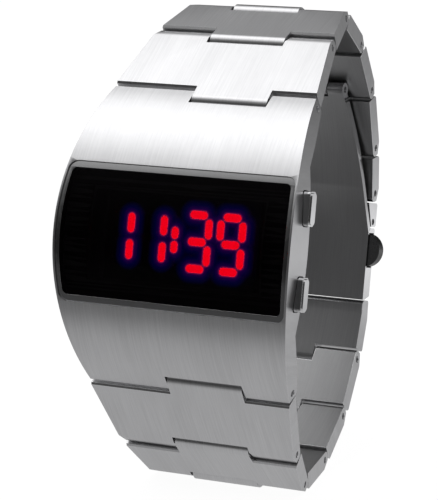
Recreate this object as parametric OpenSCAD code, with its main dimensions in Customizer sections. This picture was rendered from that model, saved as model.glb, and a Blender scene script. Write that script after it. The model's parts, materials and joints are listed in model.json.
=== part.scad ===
// Digital wristwatch with an arched steel case, a full-width black window and a folding bracelet.
// The watch is laid out with its dial facing -Y, twelve o'clock at +Z and the pushers at +X.
// At the end it is leaned back so that it stands on the flat face of its third lower link.

/* [Case] */
// Width of the case across its middle
case_w = 41.8; // [40:0.1:44]
// Radius of the arched front, seen from the side
front_r = 31.5; // [31:0.1:34]
// Depth from the front of the arch to the flat back of the case body
body_d = 6.4; // [6.2:0.1:7]
// Half height of the flat back, where the case starts to curve to the lugs
back_flat_z = 13; // [12.6:0.1:14]
// Height of the first bracelet pin, and how far it lies inside the arched front
lug_pin_z = 22.2; // [21.8:0.1:23]
lug_pin_in = 1.22; // [1.2:0.01:1.5]
// Direction of the lug end, in degrees back from straight up
lug_heading = 45; // [43:1:47]

/* [Window] */
// Half height of the window with its frame
window_z = 11.25; // [10.8:0.05:11.4]
// Depth of the seat that holds frame and lens
seat_d = 1.8; // [1.6:0.05:2]
// Steel lip left outside the frame at the case sides
lip_w = 0.35; // [0.3:0.05:0.5]
// Width of the frame at the sides, and above and below the lens
frame_side_w = 0.75; // [0.6:0.05:1]
frame_top_w = 1.1; // [0.9:0.05:1.3]
// How far frame and lens lie below the steel
frame_drop = 0.2; // [0.1:0.05:0.3]
// Thickness of the lens and of the seal behind it
lens_t = 1.2; // [1:0.05:1.3]
gasket_t = 0.3; // [0.2:0.05:0.4]
// Corner radius of the lens
lens_corner = 0.9; // [0.6:0.1:1.4]
// Ledge left behind the lens, at the sides of the module space and above and below it
ledge_x = 0.5; // [0.4:0.1:0.8]
ledge_z = 2.5; // [2:0.1:3]

/* [Module] */
// Steel left at each side of the module space, and the space's half height
module_wall = 5.4; // [5.2:0.1:5.6]
module_z = 9.5; // [9.2:0.1:9.6]
// Front of the module space, from the front of the arch
module_y = 3.9; // [3.8:0.05:4]
// Space left for the pushers at each side of the circuit board, and the board's thickness
board_side = 2.1; // [1.9:0.1:2.5]
board_t = 0.6; // [0.5:0.1:0.8]
// Length, width and depth of a lit bar of the display
bar_l = 3.1; // [2.8:0.1:3.3]
bar_w = 1.25; // [1:0.05:1.4]
bar_d = 1.5; // [1.2:0.1:1.6]
// Length of the colon's bars and the distance between their middles
dot_l = 1.9; // [1.6:0.1:2]
dot_pitch = 2.2; // [2.1:0.1:2.4]
// Half width and half height of a digit, between bar centres
digit_x = 1.9; // [1.7:0.1:2]
digit_z = 4.2; // [4:0.1:4.4]
// Distance between the two digits of a pair, and between the inner digits
digit_pitch = 5.85; // [5.6:0.05:6.2]
colon_pitch = 7.9; // [7.6:0.1:8.2]
// Sideways place of the display
display_x = -0.4; // [-1:0.1:0.6]
// Radius and thickness of the coin cell
cell_r = 8; // [7.5:0.1:8.2]
cell_t = 1.6; // [1.2:0.1:1.6]
// Width of the strap over the cell
strap_w = 4; // [3:0.5:6]

/* [Case back] */
// How far the cover reaches past the module space, at the sides and above and below
cover_side = 1.7; // [1.6:0.1:1.9]
cover_end = 2.7; // [2.5:0.1:2.9]
// Width of the cover's low rim at the sides and above and below
rim_side = 3.2; // [3:0.1:3.5]
rim_end = 2.6; // [2.5:0.1:2.8]
// Thickness of the cover's rim, and how far the middle rises above it
cover_t = 1; // [0.9:0.1:1.3]
raised_t = 1.2; // [1.1:0.1:1.6]
// Distance of the screws from the cover's edge
screw_inset = 1.4; // [1.3:0.1:1.6]
// Length of thread in the case body, and the height of the screw head
screw_d = 1.5; // [1.2:0.1:1.8]
screw_head_t = 0.55; // [0.5:0.05:0.7]
// Radius of the screw shank and of its head
screw_r = 0.55; // [0.5:0.05:0.6]
screw_head_r = 1; // [0.9:0.05:1]

/* [Pushers] */
// Height of the pushers above and below the middle, and their depth from the front
pusher_z = 6.6; // [6.2:0.1:7]
pusher_y = 4.75; // [4.7:0.05:4.8]
// Size of the pusher cap, front to back and along the case side
cap_y = 2.1; // [1.8:0.1:2.2]
cap_z = 5.4; // [4.8:0.1:5.8]
// How far the cap stands out of the case side, and how far it can be pressed
cap_out = 1.3; // [1.1:0.1:1.6]
cap_travel = 0.8; // [0.6:0.1:0.8]
// Depth of the pocket for the cap, and of the bore for its spring behind that
pocket_d = 1.47; // [1.4:0.01:1.6]
spring_bore_d = 2.2; // [2:0.1:2.4]
// Radius of the pusher stem
stem_r = 0.6; // [0.5:0.05:0.65]
// Play round the cap, and the bevel of its outer edge
cap_play = 0.12; // [0.1:0.01:0.15]
cap_bevel = 0.25; // [0.2:0.05:0.3]
// Thickness of the clip that holds the stem, and its height above the stem
clip_t = 0.2; // [0.15:0.05:0.25]
clip_h = 0.2; // [0.15:0.05:0.2]

/* [Bracelet] */
// Width of the bracelet at the case and at the clasp
band_w = 35.8; // [34:0.2:37]
clasp_w = 20.2; // [19:0.2:21]
// How fast the taper runs out towards the clasp
taper = 1.9; // [1.6:0.1:2.2]
// Pin to pin length of the first, the second, the middle and the last link
pitch_1 = 13.6; // [13:0.1:14]
pitch_2 = 9.8; // [9.6:0.1:10.4]
pitch_mid = 11; // [10.8:0.1:11.2]
pitch_6 = 8; // [7.8:0.1:8.2]
// Direction of each link, in degrees back from straight up
head_1 = 41; // [40:0.5:42]
head_2 = 56; // [55:0.5:57]
head_3 = 107.5; // [106:0.5:108]
head_4 = 129; // [128:0.5:130]
head_5 = 150; // [149:0.5:151]
head_6 = 165; // [164:0.5:166]
// Height of a link's face above its pins, and of its pins above its inner face
face_h = 1.5; // [1.4:0.05:1.7]
under_h = 1.25; // [1.2:0.05:1.4]
// Length of the ears past the pin
ear_l = 1.45; // [1.4:0.05:1.5]
// Gap between two neighbouring links when the joint is straight
seam_gap = 0.25; // [0.2:0.05:0.35]
// Length and depth of the slope at a link's far end
slope_l = 2; // [1.6:0.1:2.4]
slope_d = 1; // [0.9:0.05:1.05]
// Width of the ears beside a tongue, and greatest width of a tongue
ear_w = 7.8; // [7.6:0.1:7.9]
tongue_w = 13.3; // [12:0.1:13.6]
// Play of a tongue in its notch, at each side and at its end
tongue_play = 0.2; // [0.15:0.05:0.3]
// Radius of the pins, and their play in the bores
pin_r = 0.5; // [0.4:0.05:0.5]
pin_play = 0.05; // [0.04:0.01:0.06]

/* [Clasp] */
// Thickness of the inner blade and of the folding arm
blade_t = 1; // [0.9:0.05:1.1]
arm_t = 1; // [0.9:0.05:1.1]
// Gap between links and arm, and between arm and blade
arm_gap = 0.35; // [0.3:0.05:0.4]
blade_gap = 0.3; // [0.25:0.05:0.35]
// Half width of the blade at its hinge and at the housing
blade_top_x = 7.8; // [7.6:0.1:8.2]
blade_low_x = 9.8; // [9.6:0.1:9.9]
// Heights above the middle where blade and arm bend outwards, and where the blade meets the housing
bend_z = 11; // [10.6:0.1:11.2]
merge_z = 3.6; // [3.4:0.1:3.8]
// Place of the clasp hinge on the arc of the blade, in degrees
hinge_angle = 37; // [36:0.5:38]
// Length of the arm's end block
block_l = 4.1; // [3.9:0.1:4.2]
// Reach of the housing below the middle, and gap to the last lower link
housing_low = 7.95; // [7.85:0.05:8.05]
open_gap = 0.3; // [0.25:0.05:0.35]
// Depth of the housing below and above the line of the pins
housing_in = 1.25; // [1.2:0.05:1.3]
housing_out = 1.3; // [1.2:0.1:1.5]
// Height of the side buttons, and their size along and across the housing
button_z = 0.6; // [0.2:0.1:1]
button_r = 2.9; // [2.7:0.1:3.1]
button_y = 1.8; // [1.6:0.1:1.9]
// How far a side button stands out, and how far it can be pressed
button_out = 2.1; // [1.9:0.1:2.3]
button_travel = 0.6; // [0.5:0.05:0.6]
// Radius and half width of the last lower link's tongue, and height of its bar above the housing's end
lug_r = 1.05; // [1:0.05:1.1]
lug_x = 1.5; // [1.3:0.1:1.7]
lug_up = 1.35; // [1.3:0.05:1.4]
// Sideways place of that tongue
lug_place = -3.4; // [-3.8:0.1:-3.2]
// Radius of the side button's stem
button_stem_r = 0.8; // [0.7:0.05:0.85]

/* [Hidden] */
$fn = 96;

steel = "silver";
polished = "gainsboro";
dark_steel = "dimgray";
eps = 0.01;

// Headings and pitches by link number, with the housing after the last link
headings = [lug_heading, head_1, head_2, head_3, head_4, head_5, head_6, 180];
pitches = [0, pitch_1, pitch_2, pitch_mid, pitch_mid, pitch_mid, pitch_6];
links = 6;
function along(h) = [0, sin(h), cos(h)];
function outward(h) = [0, -cos(h), sin(h)];
// Pin k joins member k to member k + 1, and member 0 is the case
lug_pin_r = front_r - lug_pin_in;
lug_pin_y = front_r - sqrt(lug_pin_r * lug_pin_r - lug_pin_z * lug_pin_z);
function pin_at(k) = k == 0 ? [0, lug_pin_y, lug_pin_z] : pin_at(k - 1) + pitches[k] * along(headings[k]);
function width_at(k) = clasp_w + (band_w - clasp_w) * pow(1 - k / links, taper);
function tongue_width(k) = min(tongue_w, width_at(k) - 2 * ear_w);
function tongue_place(k) = max(0, width_at(k) / 2 - ear_w - tongue_width(k) / 2);

bore_r = pin_r + pin_play;
shoulder = ear_l + seam_gap;
tongue_r = face_h;
notch_l = tongue_r + tongue_play;
edge_cut = 0.3;
corner_r = 1;
pin_recess = 0.2;
arc_step = 10;

// The seam at the case: its ear is shorter, so its gap shows wider
lug_ear_l = 1.1;
lug_end = pin_at(0) + lug_ear_l * along(lug_heading);
seam_z = lug_end[2] + under_h * sin(lug_heading);
side_drop = (case_w - band_w) / 2;
side_r = (seam_z * seam_z + side_drop * side_drop) / (2 * side_drop);

// The frame, the lens and the parts behind them, as radii about the centre of the arch
seat_r = front_r - seat_d;
frame_r = front_r - frame_drop;
lens_back_r = seat_r + gasket_t;
lens_front_r = lens_back_r + lens_t;
lens_z = window_z - frame_top_w;
lens_in = lip_w + frame_side_w;
fit = 0.05;

module_x = case_w / 2 - module_wall;
sight_x = module_x - ledge_x;
sight_z = module_z - ledge_z;
board_x = module_x - board_side;
board_y = module_y + 0.2;
board_z = module_z - 0.4;
frame_y = board_y + board_t;
frame_t = 1.45;
tray_t = 0.3;
cell_y = frame_y + frame_t;
strap_t = 0.2;
cover_x = module_x + cover_side;
cover_z = module_z + cover_end;
raised_x = cover_x - rim_side;
raised_z = cover_z - rim_end;
cover_y = body_d + gasket_t;
raised_y = cover_y + cover_t + raised_t;
pocket_y = raised_y - 0.8;
pocket_x = 10.4;
pocket_z = 8.5;

pusher_side = sqrt(side_r * side_r - pusher_z * pusher_z) - side_r + case_w / 2;
pusher_wall = pusher_side - pocket_d;
cap_t = cap_out + pocket_d - cap_travel - 0.15;
cap_x = pusher_wall + cap_travel + 0.15;
spring_bore_r = stem_r + 0.35;
spring_floor = pusher_wall - spring_bore_d;
clip_x = module_x - 0.5;
stem_end = clip_x - 0.5;
clip_groove = 0.15;

// The blade and the arm lie on arcs about a point that is level with the middle of the case
near = pin_at(4);
far = pin_at(6);
arc_y = (norm(near) * norm(near) - norm(far) * norm(far)) / (2 * (near[1] - far[1]));
arc_pin_r = norm(far - [0, arc_y, 0]);
link_sag = arc_pin_r - sqrt(arc_pin_r * arc_pin_r - pitch_mid * pitch_mid / 4);
arm_out_r = arc_pin_r - link_sag - under_h - arm_gap;
arm_in_r = arm_out_r - arm_t;
blade_out_r = arm_in_r - blade_gap;
blade_in_r = blade_out_r - blade_t;
hinge_r = (arm_out_r + blade_in_r) / 2;
barrel_r = (arm_out_r - blade_in_r) / 2;
hinge = [0, arc_y + hinge_r * cos(hinge_angle), hinge_r * sin(hinge_angle)];
hinge_gap = 0.25;
arm_barrel_x = 4.8;
arm_side = 0.5;
last_y = far[1];
last_z = far[2];
block_low = last_z - shoulder - block_l;
housing_top = block_low - seam_gap;
latch_x = tongue_width(links) / 2;
latch_l = 2.5;
housing_y = last_y - housing_in;
bend_slope = (housing_y - arc_y - sqrt(blade_in_r * blade_in_r - bend_z * bend_z)) / (bend_z - merge_z);
latch_y = bent_y(arm_in_r, block_low);
button_line_y = last_y + (housing_out - housing_in) / 2;
hook_x = 0.7;
hook_t = 0.6;
hook_y = 0.7;
spring_stop = 2.9;
stem_in = 5.5;
button_floor = clasp_w / 2 - button_travel - 0.15;

// Where the housing meets the last lower link: both ends let the housing swing in and the band swing out
ridge = 0.15;
end_cut = 0.4;
swing_r = norm([0, housing_y + 0.6, -housing_low] - hinge);
lug_z = lug_up - housing_low;
lug_swing_r = norm([0, last_y, lug_z] - hinge) - lug_r - tongue_play;
bar_r = 0.4;
bar_bore_r = bar_r + pin_play;

// Placing: the watch leans back by the slope of its third lower link and stands on its face
lean = head_3 - 90;
foot_u = (shoulder + edge_cut + pitch_mid + ear_l - slope_l) / 2;
foot_pin = pin_at(2);
foot_at = foot_pin + foot_u * along(head_3) + face_h * outward(head_3);

module stand() {
    rotate([-lean, 0, 0]) translate([0, -foot_at[1], foot_at[2]]) children();
}

// Stands a link's own frame (X across, Y along, Z outwards) at pin k of the upper or lower chain
module at_pin(k, lower = false) {
    mirror([0, 0, lower ? 1 : 0])
        translate(pin_at(k)) rotate([90 - headings[k + 1], 0, 0]) children();
}

// Extrudes a side view (Y, Z) across the watch, centred on x
module across(w, x = 0) {
    translate([x - w / 2, 0, 0]) rotate([90, 0, 90]) linear_extrude(w) children();
}

// Extrudes a front view (X, Z) from depth y0 to depth y1
module deep(y0, y1) {
    translate([0, y1, 0]) rotate([90, 0, 0]) linear_extrude(y1 - y0) children();
}

// A round bar along X from x0 to x1
module bar_x(r, x0, x1, y, z) {
    translate([x0, y, z]) rotate([0, 90, 0]) cylinder(r = r, h = x1 - x0);
}

module box(x0, x1, y0, y1, z0, z1) {
    translate([x0, y0, z0]) cube([x1 - x0, y1 - y0, z1 - z0]);
}

// A tube along X between two radii, about the centre of the arched front
module arch(r_in, r_out, w) {
    difference() {
        bar_x(r_out, -w / 2, w / 2, front_r, 0);
        bar_x(r_in, -w / 2 - 1, w / 2 + 1, front_r, 0);
    }
}

// Half width of the case at height z, drawn in by inset
function case_side(z, inset) = sqrt(pow(side_r - inset, 2) - z * z) - side_r + case_w / 2;

// Front view with bowed sides, flat top and bottom and rounded corners
module bowed(inset, half_z, r) {
    steps = 8;
    zc = half_z - r;
    xc = case_side(zc, inset) - r;
    right = [for (i = [0:steps]) let(z = -zc + 2 * zc * i / steps) [case_side(z, inset), z]];
    top = [for (a = [arc_step:arc_step:90]) [xc + r * cos(a), zc + r * sin(a)]];
    left = [for (p = [for (i = [len(right) - 1:-1:0]) right[i]]) [-p[0], p[1]]];
    top_left = [for (i = [len(top) - 1:-1:0]) [-top[i][0], top[i][1]]];
    low_left = [for (p = top) [-p[0], -p[1]]];
    low = [for (i = [len(top) - 1:-1:0]) [top[i][0], -top[i][1]]];
    polygon(concat(right, top, top_left, left, low_left, low));
}

module rounded(half_x, half_z, r) {
    polygon([for (q = [0:3], a = [0:arc_step:90])
        let(sx = q == 0 || q == 3 ? 1 : -1, sz = q < 2 ? 1 : -1, t = q * 90 + a)
        [sx * (half_x - r) + r * cos(t), sz * (half_z - r) + r * sin(t)]]);
}

// Side view of the case body: arched front, flat back, sloping ends with a rounded inner corner
module case_side_view() {
    d = along(lug_heading);
    n = outward(lug_heading);
    tip = lug_end + 5 * n;
    c = lug_end - corner_r * d - (under_h - corner_r) * n;
    round_end = [for (a = [0:15:90]) c + corner_r * (cos(a) * d - sin(a) * n)];
    top = concat([[0, -1, tip[2]], tip], round_end, [[0, body_d, back_flat_z]]);
    upper = [for (p = top) [p[1], p[2]]];
    lower = [for (i = [len(top) - 1:-1:0]) [top[i][1], -top[i][2]]];
    intersection() {
        translate([front_r, 0]) circle(front_r, $fn = 240);
        polygon(concat(upper, lower));
    }
}

module case_plan() {
    for_side = side_r - case_w / 2;
    intersection() {
        translate([-for_side, 0]) circle(side_r, $fn = 240);
        translate([for_side, 0]) circle(side_r, $fn = 240);
    }
}

module lug_notch() {
    translate(pin_at(0)) rotate([90 - lug_heading, 0, 0])
        box(tongue_place(0) - tongue_width(0) / 2 - tongue_play,
            tongue_place(0) + tongue_width(0) / 2 + tongue_play,
            -notch_l, 6, -4, 6);
}

module pusher_cap_view(play) {
    rounded_side(cap_y + 2 * play, cap_z + 2 * play, 0.6);
}

module rounded_side(w, h, r) {
    polygon([for (q = [0:3], a = [0:arc_step:90])
        let(sx = q == 0 || q == 3 ? 1 : -1, sz = q < 2 ? 1 : -1, t = q * 90 + a)
        [sx * (w / 2 - r) + r * cos(t), sz * (h / 2 - r) + r * sin(t)]]);
}

module pusher_cut(z) {
    translate([pusher_wall, pusher_y, z]) rotate([90, 0, 90]) linear_extrude(5) pusher_cap_view(cap_play);
    bar_x(stem_r + pin_play, module_x - 1, pusher_wall + 1, pusher_y, z);
    bar_x(spring_bore_r, spring_floor, pusher_wall + 1, pusher_y, z);
}

module screw_places() {
    for (sx = [-1, 1], sz = [-1, 1])
        translate([sx * (cover_x - screw_inset), 0, sz * (cover_z - screw_inset)]) children();
}

module case_body() {
    color(steel) difference() {
        intersection() {
            across(case_w + 2) case_side_view();
            deep(-2, 2 * front_r) case_plan();
        }
        intersection() {
            arch(seat_r, front_r + 2, case_w);
            deep(-2, 8) bowed(lip_w, window_z, lens_corner + frame_side_w);
        }
        box(-sight_x, sight_x, 0, body_d, -sight_z, sight_z);
        box(-module_x, module_x, module_y, body_d + 1, -module_z, module_z);
        lug_notch();
        mirror([0, 0, 1]) lug_notch();
        for (s = [-1, 1]) {
            bar_x(bore_r, -case_w, case_w, lug_pin_y, s * lug_pin_z);
            pusher_cut(s * pusher_z);
        }
        screw_places() translate([0, body_d + 1, 0]) rotate([90, 0, 0])
            cylinder(r = screw_r + fit, h = screw_d + 1.2);
    }
}

module window_frame() {
    color(polished) intersection() {
        arch(seat_r, frame_r, case_w);
        difference() {
            deep(-2, 8) bowed(lip_w + fit, window_z - fit, lens_corner + frame_side_w);
            deep(-3, 9) bowed(lens_in, lens_z, lens_corner);
        }
    }
}

module lens() {
    color([0.05, 0.01, 0.02]) intersection() {
        arch(lens_back_r, lens_front_r, case_w);
        deep(-2, 8) bowed(lens_in + fit, lens_z - fit, lens_corner);
    }
}

module lens_gasket() {
    color([0.1, 0.1, 0.1]) intersection() {
        arch(seat_r, lens_back_r, case_w);
        difference() {
            deep(-2, 8) bowed(lens_in + fit, lens_z - fit, lens_corner);
            box(-sight_x - 0.5, sight_x + 0.5, -3, 9, -sight_z - 0.5, sight_z + 0.5);
        }
    }
}

// One bar of a digit: a capsule in the front view, along Z or along X
module bar(x, z, upright, l = bar_l) {
    h = l / 2 - bar_w / 2;
    r = bar_w / 2;
    pts = [for (a = [0:30:180]) [r * cos(a), h + r * sin(a)]];
    full = concat(pts, [for (p = pts) -p]);
    translate([x, 0, z]) deep(board_y - bar_d, board_y) rotate(upright ? 0 : 90) polygon(full);
}

// Bars of a digit in the order top, upper right, lower right, bottom, lower left, upper left, middle
bar_places = [[0, 1, false], [1, 0.5, true], [1, -0.5, true], [0, -1, false],
    [-1, -0.5, true], [-1, 0.5, true], [0, 0, false]];
one = [0, 1, 1, 0, 0, 0, 0];
three = [1, 1, 1, 1, 0, 0, 1];
nine = [1, 1, 1, 1, 0, 1, 1];
shown = [one, one, three, nine];
digit_places = [-colon_pitch / 2 - digit_pitch, -colon_pitch / 2, colon_pitch / 2,
    colon_pitch / 2 + digit_pitch];

module display_bars(lit) {
    for (d = [0:3], b = [0:6])
        if (shown[d][b] == lit)
            bar(display_x + digit_places[d] + digit_x * bar_places[b][0],
                digit_z * bar_places[b][1], bar_places[b][2]);
}

module display_lit() {
    color("red") {
        display_bars(1);
        for (s = [-1, 1])
            bar(display_x, s * dot_pitch / 2, true, dot_l);
    }
}

module display_unlit() {
    color([0.2, 0.02, 0.03]) display_bars(0);
}

module display_board() {
    color("darkgreen") deep(board_y, board_y + board_t) rounded(board_x, board_z, 1);
}

module timing_chip() {
    color([0.08, 0.08, 0.08]) box(-9, -2, frame_y, frame_y + 0.9, -2.5, 2.5);
}

module quartz_crystal() {
    can_r = 0.5;
    color(polished) bar_x(can_r, 3, 9, frame_y + can_r, 4);
}

module module_frame() {
    wall = 1.2;
    color([0.15, 0.15, 0.16]) difference() {
        deep(frame_y, cell_y) rounded(board_x, board_z, 1);
        deep(frame_y - 1, cell_y - tray_t) rounded(board_x - wall, board_z - wall, 0.6);
    }
}

module coin_cell() {
    step = 0.35;
    color(polished) translate([0, cell_y + cell_t, 0]) rotate([90, 0, 0]) {
        cylinder(r = cell_r, h = cell_t - step);
        cylinder(r = cell_r - 0.9, h = cell_t);
    }
}

module cell_strap() {
    reach = cell_r + 0.5;
    top = cell_y + cell_t;
    color(polished) difference() {
        box(-reach - strap_t, reach + strap_t, cell_y, top + strap_t, -strap_w / 2, strap_w / 2);
        box(-reach, reach, cell_y - 1, top, -strap_w, strap_w);
    }
}

module case_back_gasket() {
    color([0.1, 0.1, 0.1]) difference() {
        deep(body_d, cover_y) rounded(cover_x - screw_inset * 2, cover_z - screw_inset * 2 + 1.4, 1);
        deep(body_d - 1, cover_y + 1) rounded(pocket_x + 1.4, pocket_z + 1, 1);
    }
}

module case_back() {
    color(steel) difference() {
        union() {
            deep(cover_y, cover_y + cover_t) rounded(cover_x, cover_z, 2);
            deep(cover_y, raised_y) rounded(raised_x, raised_z, 1.6);
        }
        deep(cover_y - 1, pocket_y) rounded(pocket_x, pocket_z, 1);
        screw_places() translate([0, raised_y, 0]) rotate([90, 0, 0]) {
            cylinder(r = screw_r + fit, h = 9);
            cylinder(r = screw_head_r + 0.1, h = raised_t);
        }
    }
}

module case_back_screws() {
    head_y = cover_y + cover_t;
    color(dark_steel) screw_places() difference() {
        translate([0, head_y, 0]) rotate([90, 0, 0]) {
            translate([0, 0, -screw_head_t]) cylinder(r = screw_head_r, h = screw_head_t);
            translate([0, 0, -eps]) cylinder(r = screw_r, h = head_y - body_d + screw_d);
        }
        box(-2, 2, head_y + screw_head_t - 0.25, head_y + 1, -0.15, 0.15);
    }
}

// A pusher: rounded cap with a bevelled end, and a stem that reaches into the module space
module pusher(z) {
    color(polished) translate([0, pusher_y, z]) difference() {
        union() {
            translate([cap_x, 0, 0]) rotate([90, 0, 90]) linear_extrude(cap_t - cap_bevel)
                pusher_cap_view(0);
            translate([cap_x, 0, 0]) rotate([90, 0, 90]) linear_extrude(cap_t)
                pusher_cap_view(-cap_bevel);
            bar_x(stem_r, stem_end, cap_x + eps, 0, 0);
        }
        difference() {
            bar_x(stem_r + 1, clip_x, clip_x + clip_t + 2 * fit, 0, 0);
            bar_x(stem_r - clip_groove, clip_x - 1, clip_x + 1, 0, 0);
        }
    }
}

module pusher_clip(z) {
    color(dark_steel) difference() {
        bar_x(stem_r + clip_h, clip_x + fit, clip_x + fit + clip_t, pusher_y, z);
        bar_x(stem_r - clip_groove + fit, clip_x - 1, clip_x + 1, pusher_y, z);
        box(clip_x - 1, clip_x + 1, pusher_y - 0.3, pusher_y + 0.3, z - 3, z);
    }
}

module pusher_spring(z) {
    color(dark_steel) difference() {
        bar_x(spring_bore_r - 0.06, spring_floor, cap_x - fit, pusher_y, z);
        bar_x(stem_r + 0.08, spring_floor - 1, cap_x + 1, pusher_y, z);
    }
}

// Side view of a link's plate, from its shoulder to the end of its ears, where its face drops
module plate_view(pitch, drop) {
    end = pitch + ear_l;
    inner = [for (a = [0:15:90])
        [end - corner_r + corner_r * cos(a), corner_r - under_h - corner_r * sin(a)]];
    polygon(concat([[shoulder, -under_h], [shoulder, face_h - edge_cut], [shoulder + edge_cut, face_h],
        [end - slope_l, face_h], [end, face_h - drop]], inner));
}

// Side view of a tongue, rounded about its pin
module tongue_view(reach) {
    nose = [for (a = [90:arc_step:270])
        [tongue_r * cos(a), (a <= 180 ? face_h : under_h) * sin(a)]];
    polygon(concat(nose, [[reach, -under_h], [reach, face_h]]));
}

// The tongue at seam k with its bore, reaching back to the plate behind it
module tongue(k, reach) {
    difference() {
        across(tongue_width(k), tongue_place(k)) tongue_view(reach);
        bar_x(bore_r, -band_w, band_w, 0, 0);
    }
}

// Link k in its own frame, from its near pin to its far pin, where it is notched or left whole
module link_shape(k, notched = true) {
    pitch = pitches[k];
    near_w = width_at(k - 1);
    far_w = width_at(k);
    end = pitch + ear_l;
    notch_w = tongue_width(k) + 2 * tongue_play;
    union() {
        difference() {
            intersection() {
                across(band_w + 2)
                    plate_view(pitch, notched ? slope_d : slope_l * tan(180 - headings[k]));
                translate([0, 0, -5]) linear_extrude(10) polygon([[-near_w / 2, shoulder],
                    [near_w / 2, shoulder], [far_w / 2, end], [-far_w / 2, end]]);
            }
            if (notched) {
                translate([tongue_place(k) - notch_w / 2, pitch - notch_l, -5]) cube([notch_w, 9, 10]);
                bar_x(bore_r, -band_w, band_w, pitch, 0);
            }
        }
        tongue(k - 1, shoulder + 0.6);
    }
}

module upper_link(k) {
    color(steel) at_pin(k - 1) link_shape(k);
}

// Side view of the last lower link's end, from its plate to the gap below the housing
module end_view() {
    end = -housing_low - open_gap;
    polygon([[housing_y, -last_z - 0.8], [housing_y, end - end_cut], [housing_y + end_cut, end],
        [last_y - 0.5, end + ridge], [last_y + housing_out - edge_cut, end + ridge],
        [last_y + housing_out, end + ridge - edge_cut], [last_y + housing_out, -last_z]]);
}

// The last lower link ends in a short tongue with the bore of the clasp's spring bar
module last_lower_link() {
    difference() {
        union() {
            at_pin(links - 1, true) link_shape(links, false);
            across(clasp_w) end_view();
            bar_x(lug_r, lug_place - lug_x, lug_place + lug_x, last_y, lug_z);
            box(lug_place - lug_x, lug_place + lug_x, last_y - lug_r, last_y + lug_r, -last_z, lug_z);
        }
        bar_x(bar_bore_r, -clasp_w, clasp_w, last_y, lug_z);
    }
}

module lower_link(k) {
    color(steel) {
        if (k < links) at_pin(k - 1, true) link_shape(k);
        if (k == links) last_lower_link();
    }
}

module band_pin(k, lower = false) {
    w = width_at(k - 1) - 2 * pin_recess;
    color(dark_steel) mirror([0, 0, lower ? 1 : 0])
        bar_x(pin_r, -w / 2, w / 2, pin_at(k - 1)[1], pin_at(k - 1)[2]);
}

module case_pins() {
    band_pin(1);
    band_pin(1, true);
}

// A curved plate about the clasp's arc, between two angles, with sides that taper
module curved_plate(r_in, r_out, a0, a1, x0, x1) {
    z0 = r_out * sin(a0);
    z1 = r_out * sin(a1);
    intersection() {
        difference() {
            bar_x(r_out, -clasp_w, clasp_w, arc_y, 0);
            bar_x(r_in, -clasp_w - 1, clasp_w + 1, arc_y, 0);
        }
        across(2 * clasp_w) polygon([[arc_y, 0],
            [arc_y + 2 * r_out * cos(a0), 2 * r_out * sin(a0)],
            [arc_y + 2 * r_out * cos(a1), 2 * r_out * sin(a1)]]);
        deep(0, 90) polygon([[-x0, z0], [x0, z0], [x1, z1], [-x1, z1]]);
    }
}

// Below the bend the plate of radius r runs straight outwards: its place at height z
function bent_y(r, z) = arc_y + sqrt(r * r - bend_z * bend_z) + (bend_z - z) * bend_slope;

// Side view of a plate from the bend down to height z
module bent_view(r_in, r_out, z) {
    polygon([[bent_y(r_in, bend_z), bend_z], [bent_y(r_out, bend_z), bend_z], [bent_y(r_out, z), z],
        [bent_y(r_in, z), z]]);
}

// Side view of the arm's end block, which slopes with the blade below it
module block_view() {
    d0 = last_z - shoulder;
    polygon([[bent_y(arm_in_r, d0), d0], [bent_y(arm_in_r, block_low), block_low],
        [last_y + face_h - edge_cut, block_low], [last_y + face_h, block_low + edge_cut],
        [last_y + face_h, d0 - edge_cut], [last_y + face_h - edge_cut, d0]]);
}

module clasp_arm() {
    low_x = blade_low_x - arm_side;
    color(steel) difference() {
        union() {
            difference() {
                curved_plate(arm_in_r, arm_out_r, asin(bend_z / arm_out_r), hinge_angle, low_x,
                    blade_top_x - arm_side);
                for (s = [-1, 1])
                    bar_x(barrel_r + hinge_gap, s > 0 ? arm_barrel_x : -clasp_w,
                        s > 0 ? clasp_w : -arm_barrel_x, hinge[1], hinge[2]);
            }
            bar_x(barrel_r, -arm_barrel_x, arm_barrel_x, hinge[1], hinge[2]);
            across(2 * low_x) bent_view(arm_in_r, arm_out_r, last_z - shoulder - 1);
            across(clasp_w) block_view();
            at_pin(links) tongue(links, shoulder + 0.6);
            box(-latch_x, latch_x, latch_y, last_y + housing_out, block_low - latch_l, block_low + 0.5);
        }
        box(-latch_x + 0.8, latch_x - 0.8, latch_y - 1, last_y + 0.5,
            block_low - latch_l - 1, block_low - 0.2);
        bar_x(bore_r, -clasp_w, clasp_w, hinge[1], hinge[2]);
        bar_x(bore_r, -clasp_w, clasp_w, block_pin_y, block_pin_z);
    }
}

block_pin_y = last_y + 0.2;
block_pin_z = block_low + 0.85;

module clasp_arm_pin() {
    w = clasp_w - 2 * pin_recess;
    color(dark_steel) bar_x(pin_r, -w / 2, w / 2, block_pin_y, block_pin_z);
}

module clasp_hinge_pin() {
    w = 2 * blade_top_x - 2 * pin_recess;
    color(dark_steel) bar_x(pin_r, -w / 2, w / 2, hinge[1], hinge[2]);
}

// Side view of the housing and of the blade's foot, which runs into it
module housing_view() {
    polygon([[housing_y, -housing_low], [last_y + housing_out, -housing_low],
        [last_y + housing_out, housing_top - edge_cut],
        [last_y + housing_out - edge_cut, housing_top], [bent_y(blade_out_r, housing_top), housing_top],
        [housing_y, merge_z]]);
}

// Room for the tongue of the last lower link, open to both sides
module bar_notch() {
    x0 = lug_place - lug_x - tongue_play;
    x1 = lug_place + lug_x + tongue_play;
    box(x0, x1, housing_y - 1, last_y + 4, -housing_low - 1, lug_z + lug_r + tongue_play + 0.05);
    difference() {
        box(x0, x1, last_y, last_y + 4, -housing_low - 1, lug_z + lug_r + 1);
        bar_x(lug_swing_r, -clasp_w, clasp_w, hinge[1], hinge[2]);
    }
}

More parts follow.
